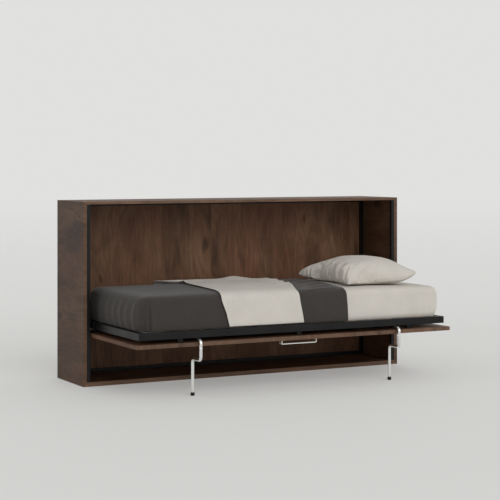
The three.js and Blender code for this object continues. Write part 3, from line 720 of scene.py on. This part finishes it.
def mattress():
    """The mattress in its fitted sheet: a closed rounded box with a drawn-in lower edge."""
    low = mattress_low.z
    xs = steps(mattress_low.x, mattress_high.x, 0.015)
    ys = steps(mattress_low.y, mattress_high.y, 0.015)
    zs = steps(low, mattress_high.z, 0.012)
    points, uvs, faces = [], [], []

    def face(first, second, place, flip):
        a, b = np.meshgrid(first, second)
        grid = place(a, b).reshape(-1, 3)
        start = sum(len(g) for g in points)
        points.append(grid)
        uvs.append(np.stack([a, b], -1).reshape(-1, 2))
        faces.extend(grid_faces(len(first), len(second), start, flip))

    full = np.full_like
    face(xs, ys, lambda a, b: np.stack([a, b, full(a, mattress_high.z)], -1), False)
    face(xs, ys, lambda a, b: np.stack([a, b, full(a, low)], -1), True)
    face(xs, zs, lambda a, b: np.stack([a, full(a, mattress_low.y), b], -1), False)
    face(xs, zs, lambda a, b: np.stack([a, full(a, mattress_high.y), b], -1), True)
    face(ys, zs, lambda a, b: np.stack([full(a, mattress_low.x), a, b], -1), True)
    face(ys, zs, lambda a, b: np.stack([full(a, mattress_high.x), a, b], -1), False)
    sharp = np.concatenate(points)
    formed, outward = rounded(sharp, 0.0)
    tuck = 0.010 * smoothstep(low + 0.035 - sharp[:, 2], 0, 0.035) ** 2
    bottom = sharp[:, 2] <= low + 1e-6
    inward = outward * tuck[:, None]
    inward[:, 2] = 0
    formed -= inward
    formed[bottom, 2] = low
    shown = smoothstep(sharp[:, 0], 0.46, 0.60) * ~bottom
    formed += outward * (shown * sheet_folds(formed))[:, None]
    piece = make_object("mattress_sheet", formed, faces, np.concatenate(uvs))
    weld(piece)
    return finish_soft(piece)


def sheet_folds(p):
    x, y, z = p.T
    drop = np.clip((0.54 - z) / 0.18, 0, 1)
    lift = 0.0008 * (1 + np.sin(13 * x - 7 * y) * np.sin(9 * y + 5 * z))
    for place, lean, width, height in SHEET_FOLDS:
        lift += height * ridge(x - place - lean * drop, width) * smoothstep(drop, 0.1, 0.8)
    return lift


# ---------------------------------------------------------------- pillow
def pillow_case():
    """Two cloth layers joined round their rim, before stuffing."""
    width, length = PILLOW_CUT
    u = steps(-width / 2, width / 2, PILLOW_GRID)
    v = steps(-length / 2, length / 2, PILLOW_GRID)
    a, b = np.meshgrid(u, v)
    round_in = 0.012 * (np.abs(a) / (width / 2)) ** 2 * (np.abs(b) / (length / 2)) ** 2
    dome = (1 - (2 * a / width) ** 4) * (1 - (2 * b / length) ** 4)
    px = a * (1 - round_in)
    py = b * (1 - round_in)
    layers = [np.stack([px, py, side * (0.012 * dome)], -1).reshape(-1, 3) for side in (1, -1)]
    points = np.concatenate(layers)
    faces = grid_faces(len(u), len(v)) + grid_faces(len(u), len(v), len(layers[0]), flip=True)
    flat = np.stack([a, b], -1).reshape(-1, 2)
    piece = make_object("pillow_case", points, faces, np.concatenate([flat, flat + [0.0, 2.0]]))
    # Both layers already face outwards. On a case this flat a recalculation can turn
    # them inwards, and the pressure then swaps the layers.
    weld(piece, turn_out=False)
    return piece


def inflate(piece):
    """Stuffs the case: cloth simulation with inner pressure, more slack cloth at the foot side."""
    slack = piece.vertex_groups.new(name="slack")
    for vertex in piece.data.vertices:
        share = 1 - smoothstep(np.array(vertex.co.x), -0.24, 0.02)
        slack.add([vertex.index], float(share), "REPLACE")
    cloth = piece.modifiers.new("stuffing", "CLOTH")
    settings = cloth.settings
    settings.quality = 6
    settings.mass = 0.20
    settings.tension_stiffness = 10
    settings.compression_stiffness = 10
    settings.shear_stiffness = 8
    settings.bending_stiffness = 0.02
    settings.tension_damping = 12
    settings.compression_damping = 12
    settings.air_damping = 2.5
    settings.use_pressure = True
    settings.uniform_pressure_force = 5.0
    settings.vertex_group_shrink = "slack"
    settings.shrink_min = 0.0
    settings.shrink_max = -0.25
    settings.effector_weights.gravity = 0
    cloth.collision_settings.use_collision = False
    cloth.collision_settings.use_self_collision = False
    scene = bpy.context.scene
    cloth.point_cache.frame_start = 1
    cloth.point_cache.frame_end = PILLOW_FRAMES
    for number in range(1, PILLOW_FRAMES + 1):
        scene.frame_set(number)
    shape = piece.evaluated_get(bpy.context.evaluated_depsgraph_get())
    mesh = shape.to_mesh()
    points = np.zeros(len(mesh.vertices) * 3, np.float32)
    mesh.vertices.foreach_get("co", points)
    shape.to_mesh_clear()
    piece.modifiers.remove(cloth)
    scene.frame_set(1)
    return points.reshape(-1, 3).astype(float)


def plump(points):
    width, length = PILLOW_CUT
    a = np.clip(np.abs(2 * points[:, 0] / width), 0, 1)
    b = np.clip(np.abs(2 * points[:, 1] / length), 0, 1)
    crown = ((1 - a**2.4) * (1 - b**2.4)) ** 0.62
    out = points.copy()
    out[:, 2] = np.sign(points[:, 2]) * 0.085 * crown
    out[:, 0] *= 1 - 0.05 * (1 - b**2)
    out[:, 1] *= 1 - 0.05 * (1 - a**2)
    return out


def rim_loop(piece):
    """Vertices of the seam, in order round the pillow."""
    width, length = PILLOW_CUT
    rim = []
    for vertex in piece.data.vertices:
        x, y = vertex.co.x, vertex.co.y
        if abs(vertex.co.z) < 1e-6:
            rim.append((math.atan2(y / length, x / width), vertex.index))
    return [index for _, index in sorted(rim)]


def pillow():
    piece = pillow_case()
    seam = rim_loop(piece)
    move_points(piece, stuffed_form(piece))
    subdivide(piece)
    points = fit_span(read_points(piece), seam)
    upper = points[:, 2] > 0
    a = 2 * points[:, 0] / PILLOW_SPAN[0]
    b = 2 * points[:, 1] / PILLOW_SPAN[1]
    set_heights(points, a, b, upper)
    raise_corners(points, a, b)
    placed = lay_on_bed(points)
    move_points(piece, placed)
    placed += read_points(piece, "normal") * pillow_creases(a, b, upper)[:, None]
    move_points(piece, placed)
    return piece, pipe(placed[seam])


def stuffed_form(piece):
    """The simulated form, eased towards the plain one at the head side."""
    start = read_points(piece)
    points = plump(start)
    stuffed = inflate(piece)
    points *= np.ptp(stuffed, axis=0) / np.ptp(points, axis=0)
    evened = PILLOW_EVENED * smoothstep(start[:, :1], -0.04, 0.14)
    points = points * evened + stuffed * (1 - evened)
    return points


def fit_span(points, seam):
    """Centres the pillow and scales its seam to PILLOW_SPAN."""
    corner = points[seam]
    for axis in (0, 1):
        middle = (corner[:, axis].max() + corner[:, axis].min()) / 2
        points[:, axis] = (points[:, axis] - middle) * (PILLOW_SPAN[axis] / np.ptp(corner[:, axis]))
    return points


def set_heights(points, a, b, upper):
    """Spreads the stuffing, then sets the crown's and belly's heights."""
    stuffing = 0.88 + 0.12 * np.cos(1.5 * (a - 0.30)) * np.cos(1.2 * b)
    stuffing += 0.17 * ridge(a - 0.62, 0.35) * ridge(b + 0.60, 0.45)
    stuffing -= 0.14 * ridge(a + 0.62, 0.35) * ridge(b - 0.60, 0.45)
    points[upper, 2] *= stuffing[upper]
    points[:, 2] = np.where(
        upper,
        PILLOW_CROWN * fuller(points[:, 2] / points[:, 2].max()),
        -1.35 * PILLOW_BELLY * fuller(points[:, 2] / points[:, 2].min()),
    )
    points[:, 2] = soft_floor(points[:, 2], -PILLOW_BELLY, 0.006)


def raise_corners(points, a, b):
    for side_a, side_b, rise in PILLOW_CORNERS:
        share = np.clip(side_a * a, 0, 1.1) ** 3 * np.clip(side_b * b, 0, 1.1) ** 3
        points[:, 2] += rise * share
        if side_a < 0 and side_b < 0:
            points[:, 0] += PILLOW_TUCK * share


def lay_on_bed(points):
    """Turns the pillow, moves it to its place and rests it on the mattress."""
    turn = math.radians(PILLOW_TURN)
    x = points[:, 0] * math.cos(turn) - points[:, 1] * math.sin(turn) + PILLOW_CENTRE[0]
    y = points[:, 0] * math.sin(turn) + points[:, 1] * math.cos(turn) + PILLOW_CENTRE[1]
    bed_top = mattress_high.z - HEAD_SAG * smoothstep(x, 0.30, 0.93) + PILLOW_LIFT
    z = np.maximum(bed_top + PILLOW_BELLY + points[:, 2], bed_top)
    return np.column_stack([x, y, z])


def move_points(piece, points):
    piece.data.vertices.foreach_set("co", points.astype(np.float32).ravel())
    piece.data.update()


def read_points(piece, kind="co"):
    values = np.zeros(len(piece.data.vertices) * 3, np.float32)
    piece.data.vertices.foreach_get(kind, values)
    return values.reshape(-1, 3).astype(float)


def subdivide(piece):
    """Bakes one smooth subdivision into the mesh. The old vertices stay first."""
    smooth = piece.modifiers.new("round", "SUBSURF")
    smooth.levels = 1
    shape = piece.evaluated_get(bpy.context.evaluated_depsgraph_get())
    finer = bpy.data.meshes.new_from_object(shape)
    piece.modifiers.remove(smooth)
    piece.data = finer


def fuller(share):
    """Rounds the stuffed shape out towards its seam."""
    return np.clip(share, 0, 1) ** PILLOW_FULLNESS


def pillow_creases(a, b, upper):
    """Gathers that run in from the foot-side seam, and a pressed line across the middle.

    a and b run from -1 to 1 across and along the pillow.
    """
    inward = a + 1
    lift = np.zeros(len(a))
    for start, lean, reach, width, depth in PILLOW_GATHERS:
        off = b - start - lean * inward
        crease = ridge(off, width * (1 + 0.8 * inward)) - 0.4 * ridge(np.abs(off) - 0.050, 0.028)
        ends = smoothstep(inward, 0.0, 0.10) * (1 - smoothstep(inward, 0.3 * reach, reach))
        lift -= GATHER_DEPTH * depth * crease * ends
    lift += 0.0028 * ridge(a + 0.03 + 0.05 * b, 0.022) * smoothstep(np.abs(b), 0.35, 0.8)
    lift -= 0.0016 * ridge(a - 0.88, 0.012)
    return lift * np.where(upper, 1.0, 0.35)


def soft_floor(value, floor, blend):
    """The value, kept above a floor with a soft bend into it."""
    over = value - floor
    return floor + (over + np.sqrt(over**2 + blend**2)) / 2


def pipe(path):
    """A closed round cord sewn along the seam."""
    return tube_along("pillow_piping", path, 0.0016, 8)


def tube_along(name, path, radius, sides):
    """A round tube along a closed path of points."""
    path = np.asarray(path, float)
    ahead = np.roll(path, -1, 0) - np.roll(path, 1, 0)
    ahead /= np.linalg.norm(ahead, axis=1)[:, None]
    side = np.cross(ahead, [0, 0, 1])
    side /= np.linalg.norm(side, axis=1)[:, None]
    up = np.cross(side, ahead)
    angles = np.linspace(0, 2 * np.pi, sides, endpoint=False)
    ring = np.cos(angles)[None, :, None] * side[:, None] + np.sin(angles)[None, :, None] * up[:, None]
    points = (path[:, None] + radius * ring).reshape(-1, 3)
    count = len(path)
    faces = []
    for i in range(count):
        for j in range(sides):
            a = i * sides + j
            b = i * sides + (j + 1) % sides
            c = (i + 1) % count * sides + (j + 1) % sides
            d = (i + 1) % count * sides + j
            faces.append((a, b, c, d))
    along = np.concatenate([[0], np.cumsum(np.linalg.norm(np.diff(path, axis=0), axis=1))])
    uvs = np.stack([
        np.repeat(along, sides), np.tile(angles * radius, count),
    ], -1)
    return make_object(name, points, faces, uvs)


# ---------------------------------------------------------------- CAD nodes' edges and finishes
def soften_edges(node, width):
    """Small rounded edges that catch the light, as modifiers on the unchanged CAD mesh."""
    mesh = node.data
    mesh.polygons.foreach_set("use_smooth", [True] * len(mesh.polygons))
    join = node.modifiers.new("join", "WELD")
    join.merge_threshold = 1e-5
    bevel = node.modifiers.new("edges", "BEVEL")
    bevel.width = width
    bevel.segments = 2
    bevel.limit_method = "ANGLE"
    bevel.angle_limit = math.radians(34)
    bevel.harden_normals = True
    normals = node.modifiers.new("normals", "WEIGHTED_NORMAL")
    normals.keep_sharp = True


def paint(node, material):
    node.data.materials.clear()
    node.data.materials.append(material)


def finish_cad():
    # The two numbers after each panel's axes are painted light and shade: the brightness of its faces and
    # of its faces toward -Y, set by how the light falls on that panel.
    wood = {
        "side_panel_left": walnut("walnut_side_left", "Y", "Z", 0.58, 0.95, offset=(0.0, 0.3, 0.0)),
        "side_panel_right": walnut("walnut_side_right", "Y", "Z", 0.80, 1.0, offset=(0.0, 1.9, 0.7)),
        "top_panel": walnut("walnut_top", "X", "Y", 0.95, 1.18, offset=(0.4, 0.0, 0.0)),
        "bottom_panel": walnut("walnut_bottom", "X", "Y", 0.85, 1.25, offset=(1.3, 0.5, 0.0)),
        "back_panel": walnut(
            "walnut_back", "Z", "X", 1.22, 1.22, band=0.0, plank=PLANK_WIDTH, offset=(0.06, 0.0, 0.0)
        ),
        "door_panel": walnut(
            "walnut_door", "Y", "X", 0.9, 1.12, plank=PLANK_WIDTH, offset=(0.06, 0.2, 0.0)
        ),
    }
    steel = powder_coat("black_steel", (0.0052, 0.0052, 0.0053), 0.38)
    chrome = metal("chrome", (0.88, 0.88, 0.87), 0.05, 0.14)
    nickel = metal("satin_nickel", (0.82, 0.80, 0.77), 0.30, 0.44, "X")
    burnished = metal("burnished_steel", (0.10, 0.095, 0.09), 0.30, 0.42)
    bronze = metal("bush_bronze", (0.45, 0.28, 0.12), 0.30, 0.42)
    slat = light_wood("birch_slat", "Y")
    batten = light_wood("birch_batten", "X")
    black = plastic("black_plastic", (0.004, 0.004, 0.004), 0.60)
    by_start = [
        ("post_", steel, 0.9), ("pivot_rail", steel, 0.9), ("rear_rail", steel, 0.9),
        ("pivot_plate", steel, 0.6), ("pivot_arm", steel, 0.6), ("strut_bracket", steel, 0.6),
        ("strut_cylinder", steel, 0.6), ("strut_rod", chrome, 0.4), ("bed_rail", steel, 1.2),
        ("pivot_pin", burnished, 0.5), ("pivot_bush", bronze, 0.2), ("leg_pin", nickel, 0.3),
        ("leg_", chrome, 0.4), ("foot_cap", black, 0.8), ("door_spacer", black, 1.2),
        ("handle", nickel, 1.2), ("slat_", slat, 1.5), ("wall_batten", batten, 1.2),
    ]
    for name, node in NODES.items():
        if name in wood:
            paint(node, wood[name])
            soften_edges(node, 0.6 * MM)
            continue
        for start, material, width in by_start:
            if name.startswith(start):
                paint(node, material)
                soften_edges(node, width * MM)
                break


# ---------------------------------------------------------------- studio
def studio():
    scene = bpy.context.scene
    scene.view_settings.view_transform = "Standard"
    world = bpy.data.worlds.new("studio")
    scene.world = world
    world.use_nodes = True
    nodes, links = world.node_tree.nodes, world.node_tree.links
    ambient = nodes["Background"]
    ambient.inputs[0].default_value = (1, 1, 0.985, 1)
    direction = nodes.new("ShaderNodeTexCoord").outputs["Generated"]
    height = nodes.new("ShaderNodeSeparateXYZ")
    links.new(direction, height.inputs[0])
    level = nodes.new("ShaderNodeMapRange")
    level.interpolation_type = "SMOOTHSTEP"
    level.inputs["From Min"].default_value = SKY_FROM
    level.inputs["From Max"].default_value = SKY_TO
    level.inputs["To Min"].default_value = SKY_LOW
    level.inputs["To Max"].default_value = SKY_HIGH
    links.new(height.outputs["Z"], level.inputs["Value"])
    links.new(level.outputs[0], ambient.inputs[1])
    seen = nodes.new("ShaderNodeBackground")
    seen.inputs[0].default_value = rgba(BACKDROP)
    ray = nodes.new("ShaderNodeLightPath")
    mix = nodes.new("ShaderNodeMixShader")
    links.new(ray.outputs["Is Camera Ray"], mix.inputs[0])
    links.new(ambient.outputs[0], mix.inputs[1])
    links.new(seen.outputs[0], mix.inputs[2])
    links.new(mix.outputs[0], nodes["World Output"].inputs[0])

    soft_light("key", KEY_PLACE, KEY_STRENGTH, KEY_SPREAD)
    floor()


def soft_light(name, place, strength, spread):
    """A broad studio light, far off in the direction of place."""
    data = bpy.data.lights.new(name, "SUN")
    data.energy = strength
    data.angle = math.radians(spread)
    light = bpy.data.objects.new(name, data)
    light.location = place
    light.rotation_euler = (-Vector(place)).to_track_quat("-Z", "Y").to_euler()
    bpy.context.scene.collection.objects.link(light)


def floor():
    """A pale floor that fades into the backdrop's tone far from the bed."""
    ring = [0.0, 1.5, 3.0, 6.0, 12.0, 24.0, FLOOR_SIZE]
    sides = 64
    points = [(0, 0, 0)]
    faces = []
    for r in ring[1:]:
        for i in range(sides):
            angle = 2 * math.pi * i / sides
            points.append((r * math.cos(angle), r * math.sin(angle), 0))
    for i in range(sides):
        faces.append((0, 1 + i, 1 + (i + 1) % sides))
    for k in range(len(ring) - 2):
        for i in range(sides):
            a = 1 + k * sides + i
            b = 1 + k * sides + (i + 1) % sides
            faces.append((a, a + sides, b + sides, b))
    piece = make_object("floor", points, faces)
    piece.location.z = -0.0006
    t = Tree("studio_floor")
    place = t.coordinates()
    radius = t.add("ShaderNodeVectorMath", {0: place}, operation="LENGTH").outputs["Value"]
    far = t.math("POWER", t.remap(radius, FADE_START, FADE_END), 0.6)
    # Even at the bed a share of the floor is glow, painted light on its shade; far off it is all glow in
    # the backdrop's tone.
    share = t.remap(far, 0, 1, FLOOR_GLOW, 1)
    cloud = t.noise(place, 1.3, 3.0)
    tone = t.mix(cloud, tuple(0.99 * c for c in FLOOR_COLOUR), FLOOR_COLOUR)
    t.bump(t.noise(place, 300.0, 2.0), 0.05, 0.0004)
    t.set(Base_Color=tone, Roughness=0.75)
    glow = t.add("ShaderNodeEmission", {"Color": rgba(BACKDROP)})
    blend = t.add("ShaderNodeMixShader", {0: share, 1: t.shader.outputs[0], 2: glow.outputs[0]})
    t.links.new(blend.outputs[0], t.nodes["Material Output"].inputs[0])
    piece.data.materials.append(t.material)


def camera():
    data = bpy.data.cameras.new("camera")
    data.lens = CAMERA_LENS
    data.shift_y = CAMERA_SHIFT
    data.clip_end = 300
    eye = bpy.data.objects.new("camera", data)
    eye.location = CAMERA_PLACE
    eye.rotation_euler = (math.radians(90), 0, math.radians(CAMERA_TURN))
    bpy.context.scene.collection.objects.link(eye)
    bpy.context.scene.camera = eye


# ---------------------------------------------------------------- the whole
camera()
studio()
finish_cad()

sheet_cloth = fabric("sheet_cloth", LINEN, 0.0009, 0.00006, 0.014, 0.12, 0.5)
charcoal_cloth = fabric("charcoal_cloth", CHARCOAL, 0.0014, 0.00012, 0.07, 0.42, 0.45)
throw_cloth = fabric("throw_weave", LINEN, 0.0022, 0.00016, 0.018, 0.15, 0.5)
# The throw's rim cloth: near-black painted shadow.
rim_painted_shadow = fabric("throw_rim_painted_shadow", THROW_RIM_SHADOW, 0.0011, 0.00008, 0.06, 0.0, 0.5)

bed_sheet = mattress()
paint(bed_sheet, sheet_cloth)
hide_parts("mattress")
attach(bed_sheet, "bed")

cover = coverlet()
paint(cover, charcoal_cloth)
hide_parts("coverlet")
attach(cover, "bed")

blanket = throw()
paint(blanket, throw_cloth)
# The throw's rim takes this near-black cloth, a painted shadow under its foot edge.
blanket.data.materials.append(rim_painted_shadow)
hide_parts("throw")
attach(blanket, "bed")

cushion, piping = pillow()
paint(cushion, sheet_cloth)
paint(piping, sheet_cloth)
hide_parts("pillow")
for soft in (cushion, piping):
    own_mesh(soft)
    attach(soft, "bed")
